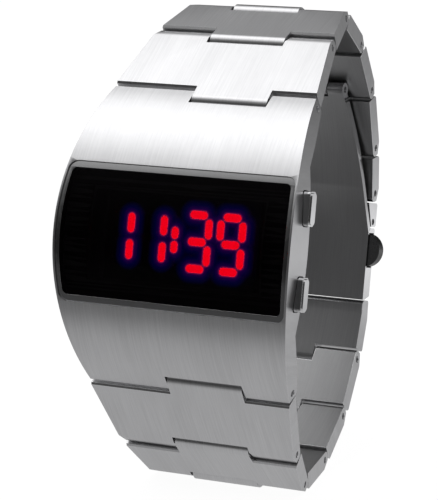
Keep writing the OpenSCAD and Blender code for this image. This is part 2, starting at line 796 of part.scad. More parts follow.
module clasp_base() {
    notch_x = latch_x + tongue_play;
    notch_y = latch_y - tongue_play;
    color(steel) difference() {
        union() {
            difference() {
                curved_plate(blade_in_r, blade_out_r, asin(bend_z / blade_out_r), hinge_angle,
                    blade_low_x, blade_top_x);
                bar_x(barrel_r + hinge_gap, -arm_barrel_x - 0.2, arm_barrel_x + 0.2, hinge[1], hinge[2]);
            }
            for (s = [-1, 1])
                bar_x(barrel_r, s > 0 ? arm_barrel_x + 0.2 : -blade_top_x,
                    s > 0 ? blade_top_x : -arm_barrel_x - 0.2, hinge[1], hinge[2]);
            intersection() {
                across(clasp_w) bent_view(blade_in_r, blade_out_r, merge_z - 0.5);
                deep(0, 90) polygon([[-clasp_w / 2, merge_z - 0.5], [clasp_w / 2, merge_z - 0.5],
                    [blade_low_x, bend_z], [-blade_low_x, bend_z]]);
            }
            intersection() {
                across(clasp_w) housing_view();
                bar_x(swing_r, -clasp_w, clasp_w, hinge[1], hinge[2]);
            }
        }
        box(-notch_x, notch_x, notch_y, last_y + 4, housing_top - latch_l - 0.2, housing_top + 1);
        box(-notch_x, notch_x, notch_y, last_y + 0.5, button_z - 0.8, housing_top);
        for (s = [-1, 1]) {
            bar_x(button_stem_r + pin_play, s > 0 ? spring_stop : -clasp_w,
                s > 0 ? clasp_w : -spring_stop, button_line_y, button_z);
            box(s > 0 ? button_floor : -clasp_w, s > 0 ? clasp_w : -button_floor,
                button_line_y - button_y / 2 - 0.1, button_line_y + button_y / 2 + 0.1,
                button_z - button_r - 0.1, button_z + button_r + 0.1);
            box(s > 0 ? 1 : -spring_stop - 1, s > 0 ? spring_stop + 1 : -1,
                button_line_y - 0.5, button_line_y + 0.5, button_z - 0.5, button_z + 0.5);
        }
        bar_x(bore_r, -clasp_w, clasp_w, hinge[1], hinge[2]);
        bar_notch();
        bar_x(bar_bore_r, lug_place - lug_x - 1.5, lug_place + lug_x + 1.5, last_y, lug_z);
    }
}

// The bar that joins housing and last lower link, drawn back into the link's tongue
module clasp_spring_bar() {
    color(dark_steel) bar_x(bar_r, lug_place - lug_x, lug_place + lug_x, last_y, lug_z);
}

// A side button: curved cap, round stem, and a hook that reaches up behind the latch
module clasp_button() {
    chord = clasp_w / 2 - fit;
    centre = clasp_w / 2 + button_out - button_r;
    color(dark_steel) {
        intersection() {
            translate([centre, button_line_y + button_y / 2, button_z]) rotate([90, 0, 0])
                cylinder(r = button_r, h = button_y);
            box(chord, clasp_w, 0, 99, -9, 9);
        }
        bar_x(button_stem_r, stem_in, chord + eps, button_line_y, button_z);
        box(hook_x, stem_in + eps, button_line_y - hook_y / 2, button_line_y + hook_y / 2,
            button_z - 0.4, button_z + 0.4);
        box(hook_x, hook_x + hook_t, button_line_y - hook_y / 2, button_line_y + hook_y / 2,
            button_z, block_low - 0.6);
    }
}

module clasp_button_right() {
    clasp_button();
}

module clasp_button_left() {
    mirror([1, 0, 0]) clasp_button();
}

module clasp_spring(s) {
    mirror([s < 0 ? 1 : 0, 0, 0]) color(polished) difference() {
        bar_x(button_stem_r - 0.03, spring_stop, stem_in - fit, button_line_y, button_z);
        bar_x(button_stem_r - 0.22, spring_stop - 1, stem_in + 1, button_line_y, button_z);
    }
}

stand() case_body();
stand() window_frame();
stand() lens();
stand() lens_gasket();
stand() display_lit();
stand() display_unlit();
stand() display_board();
stand() timing_chip();
stand() quartz_crystal();
stand() module_frame();
stand() coin_cell();
stand() cell_strap();
stand() case_back_gasket();
stand() case_back();
stand() case_back_screws();
stand() pusher(pusher_z);  // pusher_upper
stand() pusher(-pusher_z);  // pusher_lower
stand() pusher_clip(pusher_z);  // pusher_clip_upper
stand() pusher_clip(-pusher_z);  // pusher_clip_lower
stand() pusher_spring(pusher_z);  // pusher_spring_upper
stand() pusher_spring(-pusher_z);  // pusher_spring_lower
stand() upper_link(1);  // upper_link_1
stand() upper_link(2);  // upper_link_2
stand() upper_link(3);  // upper_link_3
stand() upper_link(4);  // upper_link_4
stand() upper_link(5);  // upper_link_5
stand() upper_link(6);  // upper_link_6
stand() lower_link(1);  // lower_link_1
stand() lower_link(2);  // lower_link_2
stand() lower_link(3);  // lower_link_3
stand() lower_link(4);  // lower_link_4
stand() lower_link(5);  // lower_link_5
stand() lower_link(6);  // lower_link_6
stand() case_pins();
stand() band_pin(2);  // upper_pin_2
stand() band_pin(3);  // upper_pin_3
stand() band_pin(4);  // upper_pin_4
stand() band_pin(5);  // upper_pin_5
stand() band_pin(6);  // upper_pin_6
stand() band_pin(7);  // upper_pin_7
stand() band_pin(2, true);  // lower_pin_2
stand() band_pin(3, true);  // lower_pin_3
stand() band_pin(4, true);  // lower_pin_4
stand() band_pin(5, true);  // lower_pin_5
stand() band_pin(6, true);  // lower_pin_6
stand() clasp_arm();
stand() clasp_arm_pin();
stand() clasp_hinge_pin();
stand() clasp_base();
stand() clasp_spring_bar();
stand() clasp_button_left();
stand() clasp_button_right();
stand() clasp_spring(-1);  // clasp_spring_left
stand() clasp_spring(1);  // clasp_spring_right
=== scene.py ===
# %% [markdown]
# # A digital wristwatch in brushed steel
#
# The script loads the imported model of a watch, which stands on one link of its bracelet with the dial
# leaning back. It gives every node a procedural material, cuts polished edges on copies of the steel
# pieces, winds the springs, adds the glow round the lit bars, and sets up camera, floor, world and
# lamps. All lengths are in metres.

# %% Load the frame
import bpy
import bmesh
import json
import math
from mathutils import Matrix, Vector


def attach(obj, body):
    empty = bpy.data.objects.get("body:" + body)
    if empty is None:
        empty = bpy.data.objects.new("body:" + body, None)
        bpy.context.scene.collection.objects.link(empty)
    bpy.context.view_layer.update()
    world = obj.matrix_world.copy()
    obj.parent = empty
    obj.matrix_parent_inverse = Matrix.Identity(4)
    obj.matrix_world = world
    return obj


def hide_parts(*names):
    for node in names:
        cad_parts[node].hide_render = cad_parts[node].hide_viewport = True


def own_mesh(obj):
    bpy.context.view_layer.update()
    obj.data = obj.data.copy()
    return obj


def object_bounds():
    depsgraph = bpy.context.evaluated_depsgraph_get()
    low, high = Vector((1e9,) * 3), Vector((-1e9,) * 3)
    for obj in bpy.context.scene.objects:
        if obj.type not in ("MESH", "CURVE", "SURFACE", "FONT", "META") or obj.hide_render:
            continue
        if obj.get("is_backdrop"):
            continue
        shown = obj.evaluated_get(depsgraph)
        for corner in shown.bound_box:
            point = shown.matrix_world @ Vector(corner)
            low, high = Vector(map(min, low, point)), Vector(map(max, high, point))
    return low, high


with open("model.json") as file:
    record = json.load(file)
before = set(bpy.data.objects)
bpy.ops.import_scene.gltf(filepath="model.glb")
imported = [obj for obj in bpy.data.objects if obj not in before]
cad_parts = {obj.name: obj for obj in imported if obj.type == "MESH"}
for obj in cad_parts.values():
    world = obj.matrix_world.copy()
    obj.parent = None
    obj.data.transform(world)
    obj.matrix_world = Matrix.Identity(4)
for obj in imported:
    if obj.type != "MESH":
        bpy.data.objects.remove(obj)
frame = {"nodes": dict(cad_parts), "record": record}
cad_box = [list(v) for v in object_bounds()]
nodes = frame["nodes"]
body_of = {n: b for b, ns in frame["record"]["behaviour"]["bodies"].items() for n in ns}
MM = 0.001
print("nodes:", len(nodes), "box in mm:", [[round(c / MM, 1) for c in v] for v in cad_box])

# %% [markdown]
# The watch leans back by the slope of the link on which it stands. `DIAL` turns a point of the upright
# watch (dial facing -Y, middle of the dial at the origin) into the leaning one. The camera and the
# direction in which the bars shine are easier to describe in the upright watch.

# %% The dial's own frame
LEAN = math.radians(17.5)
FOOT = Vector((0, 34.3427, -37.5028)) * MM
DIAL = Matrix.Rotation(-LEAN, 4, "X") @ Matrix.Translation(-FOOT)
print("middle of the dial at", [round(c / MM, 1) for c in DIAL.translation])

# %% [markdown]
# A camera can be placed by eye, but then edges drift away from the photograph. This one was fitted to
# the corners of the links: 27 degrees to the side of the dial, about level with it, and rolled by
# 5 degrees. Its focal length is given in pixels of an image that is 500 pixels high, so the lens
# follows from the width of the sensor, which lies along the longer side.

# %% Camera
YAW, PITCH, ROLL = (math.radians(a) for a in (27.0, 0.872, 4.998))
DISTANCE = 400 * MM
SHIFT_RIGHT, SHIFT_UP = -7.776 * MM, 1.608 * MM
SENSOR_WIDTH = 36
FOCAL_PIXELS, IMAGE_PIXELS = 2580.2, 500
NEAREST, FARTHEST = 0.02, 20


def put(name, data):
    o = bpy.data.objects.new(name, data)
    bpy.context.scene.collection.objects.link(o)
    return o


back = Vector((math.sin(YAW) * math.cos(PITCH), -math.cos(YAW) * math.cos(PITCH), math.sin(PITCH)))
right = Vector((math.cos(YAW), math.sin(YAW), 0))
up = back.cross(right)
right, up = right * math.cos(ROLL) + up * math.sin(ROLL), up * math.cos(ROLL) - right * math.sin(ROLL)
place = back * DISTANCE - right * SHIFT_RIGHT - up * SHIFT_UP
axes = Matrix((right, up, back)).transposed().to_4x4()
camera_data = bpy.data.cameras.new("camera")
camera_data.sensor_width = SENSOR_WIDTH
camera_data.lens = SENSOR_WIDTH * FOCAL_PIXELS / IMAGE_PIXELS
camera_data.clip_start = NEAREST
camera_data.clip_end = FARTHEST
camera = put("camera", camera_data)
camera.matrix_world = DIAL @ Matrix.Translation(place) @ axes
bpy.context.scene.camera = camera
print("camera at", [round(c, 3) for c in camera.matrix_world.translation])

# %% [markdown]
# ## Helpers for node trees
#
# A material can be clicked together in the shader editor or built by a script, which gives the same
# result each time. `material` starts one, and `node` adds a node with its values set. `stretched` gives
# a noise whose pattern is long in some directions and fine in others. `span` turns a value into another
# range, and `ramp` turns it into a colour.

# %% Start a material and add nodes
def material(name):
    m = bpy.data.materials.new(name)
    m.use_nodes = True
    t = m.node_tree
    return m, t, t.nodes["Principled BSDF"]


def node(tree, kind, **values):
    n = tree.nodes.new(kind)
    for k, v in values.items():
        if k in n.inputs:
            n.inputs[k].default_value = v
        else:
            setattr(n, k, v)
    return n


print("material() and node() are ready")

# %% Patterns and ranges
NOISE_LOW, NOISE_HIGH = 0.3, 0.7


def stretched(tree, scale, detail=3.0, rough=0.6):
    coords = tree.nodes.new("ShaderNodeTexCoord")
    mapping = node(tree, "ShaderNodeMapping", Scale=scale)
    noise = node(tree, "ShaderNodeTexNoise", Scale=1.0, Detail=detail, Roughness=rough)
    tree.links.new(coords.outputs["Object"], mapping.inputs["Vector"])
    tree.links.new(mapping.outputs["Vector"], noise.inputs["Vector"])
    return noise.outputs["Fac"]


def span(tree, fac, low, high, start=NOISE_LOW, end=NOISE_HIGH):
    n = node(tree, "ShaderNodeMapRange")
    n.inputs["From Min"].default_value = start
    n.inputs["From Max"].default_value = end
    n.inputs["To Min"].default_value = low
    n.inputs["To Max"].default_value = high
    tree.links.new(fac, n.inputs["Value"])
    return n.outputs["Result"]


def ramp(tree, fac, *stops):
    n = tree.nodes.new("ShaderNodeValToRGB")
    while len(n.color_ramp.elements) < len(stops):
        n.color_ramp.elements.new(0.5)
    for e, (pos, color) in zip(n.color_ramp.elements, stops):
        e.position = pos
        e.color = (*color, 1)
    tree.links.new(fac, n.inputs["Fac"])
    return n.outputs["Color"]


print("stretched(), span() and ramp() are ready, noise is read from", NOISE_LOW, "to", NOISE_HIGH)

# %% Greys, mixtures and relief
BLUE_CAST = 1.01
MIX_FIRST, MIX_SECOND, MIX_RESULT = 2, 3, 0


def grey(v):
    return (v, v, v * BLUE_CAST)


def greys(*stops):
    return [(pos, grey(v)) for pos, v in stops]


def mixed(tree, first, second, share):
    n = node(tree, "ShaderNodeMix", data_type="FLOAT", Factor=share)
    tree.links.new(first, n.inputs[MIX_FIRST])
    tree.links.new(second, n.inputs[MIX_SECOND])
    return n.outputs[MIX_RESULT]


def relief(tree, height, strength, depth, shader):
    n = node(tree, "ShaderNodeBump", Strength=strength, Distance=depth)
    tree.links.new(height, n.inputs["Height"])
    tree.links.new(n.outputs["Normal"], shader.inputs["Normal"])


print("a middle grey is written", grey(0.5))

# %% [markdown]
# ## Brushed steel
#
# Case and links are brushed along the bracelet with an abrasive belt, which leaves fine streaks. An
# image of scratches would need the pieces unwrapped. Here a noise is fine across the watch (X) and long
# in the other two directions, so one pattern runs along every link, whatever its slope. A slower noise
# changes the tone a little from place to place, and a fine one breaks up the shine.

# %% Brushed steel
STREAK_ALONG = 110
CLOUDS, CLOUD_SHARE = (130, 60, 60), 0.35
SPECKS, SPECK_SHARE = (1500, 1500, 1500), 0.5
DARKEST, LIGHTEST = 0.86, 1.08
SMOOTHEST, ROUGHEST = 0.92, 1.12
GROOVE_STRENGTH, GROOVE_DEPTH = 0.25, 0.02 * MM


def brushed(name, tone, rough, fine=5200):
    m, t, p = material(name)
    p.inputs["Metallic"].default_value = 1.0
    grain = stretched(t, (fine, STREAK_ALONG, STREAK_ALONG), 4.0, 0.65)
    cloud = stretched(t, CLOUDS, 2.0, 0.5)
    speck = stretched(t, SPECKS, 2.0, 0.6)
    tint = ramp(t, mixed(t, grain, cloud, CLOUD_SHARE), (NOISE_LOW, grey(tone * DARKEST)),
                (NOISE_HIGH, grey(tone * LIGHTEST)))
    dull = span(t, mixed(t, grain, speck, SPECK_SHARE), rough * SMOOTHEST, rough * ROUGHEST)
    t.links.new(tint, p.inputs["Base Color"])
    t.links.new(dull, p.inputs["Roughness"])
    relief(t, grain, GROOVE_STRENGTH, GROOVE_DEPTH, p)
    return m


steel = brushed("brushed_steel", tone=0.66, rough=0.3)
# The darker copy is painted shade: the same steel at about half the tone, for faces in the shade inside the
# loop.
shaded_inner_steel = brushed("shaded_inner_steel", tone=0.34, rough=0.4)
pin_steel = brushed("pin_steel", tone=0.42, rough=0.34, fine=2400)
print("brushed steels:", [m.name for m in (steel, shaded_inner_steel, pin_steel)])

# %% [markdown]
# ## Polished steel
#
# Edges, pushers and the frame of the window are polished. A plain smooth metal looks like chrome in a
# drawing, so a noise of faint scratches makes it a little darker and duller in places. The buttons of
# the clasp get a dark polish.

# %% Polished steel
SCRATCHES = (700, 250, 250)
SCRATCH_START, SCRATCH_TONE, SCRATCH_ROUGH = 0.35, 0.94, 0.05


def polished(name, tone, rough):
    m, t, p = material(name)
    p.inputs["Metallic"].default_value = 1.0
    wear = stretched(t, SCRATCHES, 4.0, 0.7)
    tint = ramp(t, wear, (SCRATCH_START, grey(tone * SCRATCH_TONE)), (NOISE_HIGH, grey(tone)))
    t.links.new(tint, p.inputs["Base Color"])
    t.links.new(span(t, wear, rough, rough + SCRATCH_ROUGH), p.inputs["Roughness"])
    return m


edge = polished("polished_edge", tone=0.86, rough=0.12)
bright = polished("polished_steel", tone=0.72, rough=0.1)
dark_bright = polished("button_steel", tone=0.08, rough=0.25)
frame_steel = polished("frame_steel", tone=0.3, rough=0.18)
print("polished steels:", [m.name for m in (edge, bright, dark_bright, frame_steel)])

# %% [markdown]
# ## Plastics and rubber
#
# Seals, module frame, chip and circuit board lie inside the case and show only when it is open. One
# recipe serves them all: a fine noise moves the colour and the roughness a little and gives a shallow
# relief, as moulding leaves it.

# %% Plastics and rubber
MOULD_STRENGTH, MOULD_DEPTH = 0.15, 0.03 * MM
SHADE, SHADE_START, SHADE_END = 0.75, 0.35, 0.65
DULL_LOW, DULL_HIGH = 0.85, 1.15


def moulded(name, color, rough, spot=900):
    m, t, p = material(name)
    skin = stretched(t, (spot, spot, spot), 3.0, 0.6)
    dark = tuple(c * SHADE for c in color)
    t.links.new(ramp(t, skin, (SHADE_START, dark), (SHADE_END, color)), p.inputs["Base Color"])
    t.links.new(span(t, skin, rough * DULL_LOW, rough * DULL_HIGH), p.inputs["Roughness"])
    relief(t, skin, MOULD_STRENGTH, MOULD_DEPTH, p)
    return m


rubber = moulded("seal_rubber", (0.02, 0.02, 0.02), rough=0.75)
board_green = moulded("board_lacquer", (0.012, 0.1, 0.04), rough=0.35)
resin = moulded("chip_resin", (0.018, 0.018, 0.02), rough=0.55, spot=2500)
frame_plastic = moulded("frame_plastic", (0.03, 0.03, 0.033), rough=0.5, spot=1600)
unlit = moulded("unlit_bar", (0.05, 0.004, 0.008), rough=0.4)
print("moulded:", [m.name for m in (rubber, board_green, resin, frame_plastic, unlit)])

# %% [markdown]
# ## The dark lens
#
# The real lens is deep red plastic that looks black until the bars behind it shine. Real transmission
# would be slow and noisy here, so the lens is nearly black and partly transparent. Light from the bars
# passes both of its faces, and each lets a quarter through, so a sixteenth arrives.

# %% Lens
LENS_ALPHA, LENS_SPECULAR = 0.75, 0.05
LENS_SMOOTH, LENS_DULL = 0.03, 0.045
LENS_SMEARS = (160, 60, 60)
LENS_BLACK, LENS_RED_BLACK = (0.0008, 0.0004, 0.0008), (0.0016, 0.0008, 0.0014)
lens_dark, t, p = material("lens_dark")
smear = stretched(t, LENS_SMEARS, 3.0, 0.55)
lens_tint = ramp(t, smear, (NOISE_LOW, LENS_BLACK), (NOISE_HIGH, LENS_RED_BLACK))
t.links.new(lens_tint, p.inputs["Base Color"])
t.links.new(span(t, smear, LENS_SMOOTH, LENS_DULL), p.inputs["Roughness"])
p.inputs["Specular IOR Level"].default_value = LENS_SPECULAR
p.inputs["Alpha"].default_value = LENS_ALPHA
print("share of light through both faces of the lens:", (1 - LENS_ALPHA) ** 2)

# %% [markdown]
# ## Lit bars
#
# A bar of the display is a light guide in a dark sleeve, so only its front glows. An emission on the
# whole bar would light its sides too and blur the digits. The angle between a face and the front of
# the dial therefore sets the strength, which is high because most of the light stays in the lens.

# %% Lit bars
SIDE_LIGHT, FRONT_LIGHT = 0.05, 13.5
SIDE_FACING, FRONT_FACING = 0.7, 0.95
LIT_GRAINS = (900, 900, 900)
LIT_DEEP, LIT_PURE = (0.97, 0.0, 0.008), (1.0, 0.0, 0.014)
lit, t, p = material("lit_bar")
t.nodes.remove(p)
shape = t.nodes.new("ShaderNodeNewGeometry")
facing = node(t, "ShaderNodeVectorMath", operation="DOT_PRODUCT")
facing.inputs[1].default_value = DIAL.to_3x3() @ Vector((0, -1, 0))
t.links.new(shape.outputs["Normal"], facing.inputs[0])
speckle = stretched(t, LIT_GRAINS, 2.0, 0.5)
lit_red = ramp(t, speckle, (NOISE_LOW, LIT_DEEP), (NOISE_HIGH, LIT_PURE))
lit_strength = span(t, facing.outputs["Value"], SIDE_LIGHT, FRONT_LIGHT, SIDE_FACING, FRONT_FACING)
glow = node(t, "ShaderNodeEmission")
t.links.new(lit_red, glow.inputs["Color"])
t.links.new(lit_strength, glow.inputs["Strength"])
t.links.new(glow.outputs["Emission"], t.nodes["Material Output"].inputs["Surface"])
print("strength seen through the lens:", round(FRONT_LIGHT * (1 - LENS_ALPHA) ** 2, 2))

# %% [markdown]
# ## Every node gets its material
#
# The record of the part says which slot each node belongs to. A table from slots to materials is
# shorter than a line for each node, and a new node in the same slot is dressed by itself. The buttons
# of the clasp differ from their slot. So does the frame of the window, which gets its own steel further
# down, together with its polished edges.

# %% Give every node its material
slots = {
    "steel": steel, "polished_steel": bright, "pin_steel": pin_steel, "dark_lens": lens_dark,
    "seal_rubber": rubber, "lit_bars": lit, "unlit_bars": unlit, "circuit_board": board_green,
    "chip_resin": resin, "frame_plastic": frame_plastic,
}
slot_of = {s["node"]: s["material_slot"] for s in frame["record"]["subparts"]}
for name, o in nodes.items():
    o.data.materials.clear()
    o.data.materials.append(slots[slot_of[name]])
for name in ("clasp_button_left", "clasp_button_right"):
    nodes[name].data.materials[0] = dark_bright
print("materials given to", len(slot_of), "nodes")

# %% [markdown]
# ## Polished edges
#
# Real links have a narrow polished chamfer along every edge of the brushed faces. The model has none,
# because they are too small to matter for its solids. A copy of each steel node is merged and cleaned
# of its triangulation, and a Bevel modifier cuts the edges that are sharper than 28 degrees. Weighted
# normals keep the large faces flat in the light. The bevels take the second material, which is
# smoother and so catches the light as thin bright lines.
#
# Faces that look into the loop of the bracelet take a third, duller one with about half the tone of
# the brushed steel, which is painted shade for the shade inside the loop, and the sides of the clasp's
# blade are polished.

# %% Bevelled copies
LOOP_MIDDLE = DIAL @ Vector((0, 27 * MM, 0))
FLAT_ANGLE, BEVEL_ANGLE = math.radians(0.4), math.radians(28)
MERGE = 1e-7
BEVEL_SEGMENTS = 2
EDGE_SLOT, PAINTED_SHADE_SLOT = 1, 2
INNER_FACING, SIDE_NORMAL = 0.6, 0.9
WHOLE_AREA = 100


def merged_copy(name, weld):
    mesh = nodes[name].data.copy()
    bm = bmesh.new()
    bm.from_mesh(mesh)
    bmesh.ops.remove_doubles(bm, verts=bm.verts, dist=weld)
    bmesh.ops.dissolve_limit(bm, angle_limit=FLAT_ANGLE, verts=bm.verts, edges=bm.edges)
    for f in bm.faces:
        f.smooth = True
    bm.to_mesh(mesh)
    bm.free()
    return mesh


def looks_inwards(polygon):
    inwards = LOOP_MIDDLE - polygon.center
    return polygon.normal.dot(Vector((0, inwards.y, inwards.z)).normalized()) > INNER_FACING


def bake(o):
    bpy.context.view_layer.update()
    mesh = bpy.data.meshes.new_from_object(o.evaluated_get(bpy.context.evaluated_depsgraph_get()))
    o.modifiers.clear()
    o.data = mesh
    return mesh


print("loop's middle in mm:", [round(c / MM, 1) for c in LOOP_MIDDLE])

# %% [markdown]
# `softened` dresses a copy and bevels it, and the lines after it say which pieces get which width, so
# one edge can be changed without touching the others. The last lower link has two slivers where its
# taper ends, 0.017 mm wide, which would twist its bevel, so they are welded first.

# %% Soften the steel pieces
def softened(name, width, mats=(steel, edge), bright_sides=False, weld=MERGE):
    mesh = merged_copy(name, weld)
    mesh.materials.clear()
    for m in mats:
        mesh.materials.append(m)
    for polygon in mesh.polygons:
        # Faces that look into the loop take the darker steel, which is painted shade.
        if len(mats) > PAINTED_SHADE_SLOT and looks_inwards(polygon):
            polygon.material_index = PAINTED_SHADE_SLOT
        if bright_sides and abs(polygon.normal.x) > SIDE_NORMAL:
            polygon.material_index = EDGE_SLOT
    o = put(name + "_finish", mesh)
    bevel = o.modifiers.new("bevel", "BEVEL")
    bevel.width = width
    bevel.segments = BEVEL_SEGMENTS
    bevel.limit_method = "ANGLE"
    bevel.angle_limit = BEVEL_ANGLE
    bevel.material = EDGE_SLOT
    weighted = o.modifiers.new("weighted", "WEIGHTED_NORMAL")
    weighted.mode = "FACE_AREA"
    weighted.weight = WHOLE_AREA
    weighted.keep_sharp = True
    bake(o)
    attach(o, body_of[name])
    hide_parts(name)
    return o


LINKS_PER_SIDE = 6
LINK_EDGE, CASE_EDGE, THIN_EDGE, PUSHER_EDGE = 0.14 * MM, 0.13 * MM, 0.12 * MM, 0.1 * MM
SLIVER_WELD = 0.02 * MM
# The third material is painted shade for the faces inside the loop.
LINK_MATS = (steel, edge, shaded_inner_steel)
links = [f"{side}_link_{i + 1}" for side in ("upper", "lower") for i in range(LINKS_PER_SIDE)]
made = [softened(n, LINK_EDGE, LINK_MATS) for n in links[:-1]]
made.append(softened(links[-1], LINK_EDGE, LINK_MATS, weld=SLIVER_WELD))
made.append(softened("case_body", CASE_EDGE))
made.append(softened("case_back", THIN_EDGE))
made += [softened(n, THIN_EDGE, LINK_MATS, bright_sides=True) for n in ("clasp_arm", "clasp_base")]
made += [softened(n, PUSHER_EDGE, (bright, edge)) for n in ("pusher_upper", "pusher_lower")]
made.append(softened("window_frame", THIN_EDGE, (frame_steel, edge)))
print("bevelled copies:", len(made), "faces:", sum(len(o.data.polygons) for o in made))

# %% [markdown]
# ## Coil springs
#
# Under each pusher and each button of the clasp sits a small coil spring. The model holds it as a plain
# sleeve, which is enough for its collision and mass. A coil follows a rule, so a Geometry Nodes tree
# winds it in the same space: a spiral of the asked length, swept with a round wire.

# %% Tree that winds a coil
TURN_POINTS, WIRE_SIDES = 28, 10
COIL_SIZES = ("Turns", "Radius", "Length", "Wire")


def coil_tree():
    tree = bpy.data.node_groups.new("coil", "GeometryNodeTree")
    tree.interface.new_socket("Geometry", in_out="OUTPUT", socket_type="NodeSocketGeometry")
    for label in COIL_SIZES:
        tree.interface.new_socket(label, in_out="INPUT", socket_type="NodeSocketFloat")
    tree.interface.new_socket("Material", in_out="INPUT", socket_type="NodeSocketMaterial")
    given = tree.nodes.new("NodeGroupInput")
    spiral = node(tree, "GeometryNodeCurveSpiral", Resolution=TURN_POINTS)
    circle = node(tree, "GeometryNodeCurvePrimitiveCircle", Resolution=WIRE_SIDES)
    sweep = tree.nodes.new("GeometryNodeCurveToMesh")
    sweep.inputs["Fill Caps"].default_value = True
    real = tree.nodes.new("GeometryNodeRealizeInstances")
    paint = tree.nodes.new("GeometryNodeSetMaterial")
    out = tree.nodes.new("NodeGroupOutput")
    for label, socket in (("Turns", spiral.inputs["Rotations"]),
                          ("Radius", spiral.inputs["Start Radius"]),
                          ("Radius", spiral.inputs["End Radius"]),
                          ("Length", spiral.inputs["Height"]),
                          ("Wire", circle.inputs["Radius"]),
                          ("Material", paint.inputs["Material"])):
        tree.links.new(given.outputs[label], socket)
    tree.links.new(spiral.outputs["Curve"], sweep.inputs["Curve"])
    tree.links.new(circle.outputs["Curve"], sweep.inputs["Profile Curve"])
    tree.links.new(sweep.outputs["Mesh"], real.inputs["Geometry"])
    tree.links.new(real.outputs["Geometry"], paint.inputs["Geometry"])
    tree.links.new(paint.outputs["Geometry"], out.inputs["Geometry"])
    return tree


coil_group = coil_tree()
coil_steel = polished("coil_steel", tone=0.6, rough=0.18)
print("coil tree with", len(coil_group.nodes), "nodes")

# %% [markdown]
# Each coil takes its place and size from its sleeve, so it still fits when a size of the part changes.

# %% Wind the four springs
UPRIGHT_TO_X = Matrix.Rotation(math.radians(90), 4, "Y")


def coil(name, travel, turns, wire):
    points = [nodes[name].matrix_world @ v.co for v in nodes[name].data.vertices]
    low = Vector(min(p[i] for p in points) for i in range(3))
    high = Vector(max(p[i] for p in points) for i in range(3))
    length = high.x - low.x
    middle_y, middle_z = (low.y + high.y) / 2, (low.z + high.z) / 2
    base = put(name + "_coil", bpy.data.meshes.new(name + "_coil"))
    wind = base.modifiers.new("wind", "NODES")
    wind.node_group = coil_group
    values = {"Turns": float(turns), "Radius": (high.z - low.z) / 2 - wire, "Length": length - 2 * wire,
              "Wire": wire, "Material": coil_steel}
    for item in coil_group.interface.items_tree:
        if item.in_out == "INPUT":
            wind[item.identifier] = values[item.name]
    mesh = bake(base)
    mesh.transform(Matrix.Translation((low.x + wire, middle_y, middle_z)) @ UPRIGHT_TO_X)
    for polygon in mesh.polygons:
        polygon.use_smooth = True
    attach(base, body_of[name])
    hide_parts(name)
    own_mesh(base)
    return base


PUSHER_TRAVEL, PUSHER_TURNS, PUSHER_WIRE = 0.8 * MM, 7, 0.11 * MM
BUTTON_TRAVEL, BUTTON_TURNS, BUTTON_WIRE = 0.6 * MM, 6, 0.088 * MM
springs = []
for s in ("upper", "lower"):
    springs.append(coil("pusher_spring_" + s, PUSHER_TRAVEL,
                        PUSHER_TURNS, PUSHER_WIRE))
for s in ("left", "right"):
    springs.append(coil("clasp_spring_" + s, BUTTON_TRAVEL,
                        BUTTON_TURNS, BUTTON_WIRE))
print("coils:", [o.name for o in springs])

# %% [markdown]
# ## Glow round the lit bars
#
# Light spreads a little in the lens, so each bar has a pink rim and a blue halo. A compositor could
# blur the picture, but the glow would then live only in the picture and not in the scene. Instead, a
# thin sheet lies just in front of the bars. Its attribute `away` is the distance to the nearest bar, and
# a ramp turns that into colour. The sheet adds light and hides nothing.
#
# First the bars are found: each island of the node is one, with round ends, so a straight line and a
# radius describe it.

# %% Bars of the display
def islands(mesh):
    bm = bmesh.new()
    bm.from_mesh(mesh)
    bmesh.ops.remove_doubles(bm, verts=bm.verts, dist=MERGE)
    left = set(bm.verts)
    while left:
        stack = [left.pop()]
        group = []
        while stack:
            v = stack.pop()
            group.append(v.co.copy())
            for e in v.link_edges:
                w = e.other_vert(v)
                if w in left:
                    left.remove(w)
                    stack.append(w)
        yield group
    bm.free()


bars = []
front = math.inf
to_dial = DIAL.inverted()
for points in islands(nodes["display_lit"].data):
    local = [to_dial @ p for p in points]
    x0, x1 = min(p.x for p in local), max(p.x for p in local)
    z0, z1 = min(p.z for p in local), max(p.z for p in local)
    front = min(front, min(p.y for p in local))
    r = min(x1 - x0, z1 - z0) / 2
    bars.append((x0 + r, x1 - r, z0 + r, z1 - r, r))
print("lit bars:", len(bars), "front in mm:", round(front / MM, 2))

# %% [markdown]
# The sheet is a grid of small squares. `away` is 0 deep inside a bar, `INSIDE / (1 + INSIDE)` at its
# outline and 1 where the halo ends. Squares that lie wholly past the halo are left out.

# %% Halo sheet
REACH, INSIDE = 1.8 * MM, 0.25
SQUARE, MARGIN, AHEAD = 0.16 * MM, 2.4 * MM, 0.02 * MM


def away(x, z):
    return min(math.hypot(max(x0 - x, x - x1, 0), max(z0 - z, z - z1, 0)) - r for x0, x1, z0, z1, r in bars)


def mesh_of(bm, name):
    mesh = bpy.data.meshes.new(name)
    bm.to_mesh(mesh)
    bm.free()
    return mesh


left_x, right_x = min(b[0] for b in bars) - MARGIN, max(b[1] for b in bars) + MARGIN
low_z, high_z = min(b[2] for b in bars) - MARGIN, max(b[3] for b in bars) + MARGIN
columns, rows = int((right_x - left_x) / SQUARE) + 1, int((high_z - low_z) / SQUARE) + 1
bm = bmesh.new()
away_layer = bm.verts.layers.float.new("away")
grid = []
for i in range(columns):
    for j in range(rows):
        x, z = left_x + i * SQUARE, low_z + j * SQUARE
        v = bm.verts.new(DIAL @ Vector((x, front - AHEAD, z)))
        v[away_layer] = min(1.0, max(0.0, (away(x, z) / REACH + INSIDE) / (1 + INSIDE)))
        grid.append(v)
for i in range(columns - 1):
    for j in range(rows - 1):
        k = i * rows + j
        corners = (grid[k], grid[k + rows], grid[k + rows + 1], grid[k + 1])
        if min(v[away_layer] for v in corners) < 1.0:
            bm.faces.new(corners)
bmesh.ops.delete(bm, geom=[v for v in bm.verts if not v.link_faces], context="VERTS")
